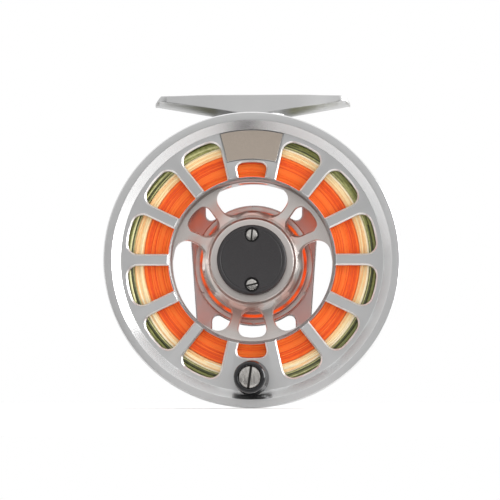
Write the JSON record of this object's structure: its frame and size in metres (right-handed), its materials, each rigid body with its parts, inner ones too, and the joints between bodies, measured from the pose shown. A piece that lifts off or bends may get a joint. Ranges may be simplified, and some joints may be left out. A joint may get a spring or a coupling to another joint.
{
  "type": "fly reel",
  "caption": "Large arbor fly reel: machined cage on a rod foot, ported spool with palming rim and wound line, sealed disc drag with adjuster knob, crank handle.",
  "frame": {"origin": "middle of the flat strip on top of the reel foot, where it lies against the rod's reel seat", "axes": "+Z out of the foot towards the rod, +X along the rod and the foot, +Y along the reel's axis from the handle side to the drag knob"},
  "size_m": [0.095, 0.0625, 0.1022],
  "materials": {
    "anodised_grey": "bead-blasted grey anodising with polished chamfers",
    "hub_grey": "warm grey satin anodising",
    "counterweight_grey": "brown-grey satin",
    "cap_charcoal": "satin charcoal",
    "handle_black": "polished black",
    "steel": "brushed stainless steel",
    "carbon_fibre": "woven carbon friction disc",
    "click_brass": "turned brass",
    "seal_rubber": "moulded rubber",
    "bush_acetal": "natural acetal",
    "orange_backing": "braided backing",
    "peach_line": "coated running line",
    "olive_line": "coated fly line head"
  },
  "bodies": {
    "frame": {"frame": "anodised_grey", "reel_foot": "anodised_grey", "foot_screw_left": "steel", "foot_screw_right": "steel", "spindle": "steel", "retaining_clip": "steel", "drag_housing": "anodised_grey", "housing_lock_ring": "hub_grey", "drag_cover": "hub_grey", "cover_seal": "seal_rubber", "knob_seal": "seal_rubber", "carbon_disc_front": "carbon_fibre", "carbon_disc_middle": "carbon_fibre", "carbon_disc_rear": "carbon_fibre", "pressure_plate": "steel", "spring_washer_front": "steel", "spring_washer_rear": "steel", "pawl_pin": "steel", "click_spring": "steel"},
    "drive_hub": {"clutch_hub": "steel", "roller_clutch": "steel", "front_bearing": "steel", "rear_bearing": "steel", "click_gear": "click_brass", "steel_disc_front": "steel", "steel_disc_rear": "steel"},
    "spool": {"spool": "anodised_grey", "counterweight": "counterweight_grey", "spool_cap": "cap_charcoal", "cap_screw_upper": "steel", "cap_screw_lower": "steel", "latch_spring": "steel", "handle_spindle": "steel", "handle_collar": "steel", "handle_screw": "steel", "backing_winding": "orange_backing", "running_line_winding": "peach_line", "head_winding": "olive_line"},
    "handle": {"handle_knob": "handle_black", "handle_bush_rear": "bush_acetal", "handle_bush_front": "bush_acetal"},
    "drag_knob": {"drag_knob": "anodised_grey", "drag_adjuster": "steel", "knob_screw": "steel", "detent_ball": "steel", "detent_spring": "steel"},
    "click_pawl": {"click_pawl": "click_brass"}
  },
  "joints": [
    {"name": "spool_spin", "type": "hinge", "parent": "frame", "child": "drive_hub", "pos_m": [0, 0, -0.0542], "axis": [0, 1, 0], "continuous": true},
    {"name": "spool_pull", "type": "slide", "parent": "drive_hub", "child": "spool", "axis": [0, -1, 0], "range_m": [0, 0.032]},
    {"name": "handle_spin", "type": "hinge", "parent": "spool", "child": "handle", "pos_m": [0, -0.025, -0.0922], "axis": [0, 1, 0], "continuous": true},
    {"name": "drag_adjust", "type": "hinge", "parent": "frame", "child": "drag_knob", "pos_m": [0, 0.02, -0.0542], "axis": [0, 1, 0], "range_deg": [0, 300]},
    {"name": "click_pawl_rock", "type": "hinge", "parent": "frame", "child": "click_pawl", "pos_m": [0, 0.003, -0.04], "axis": [0, 1, 0], "range_deg": [-12, 12], "stiffness_Nm_per_rad": 0.002}
  ]
}
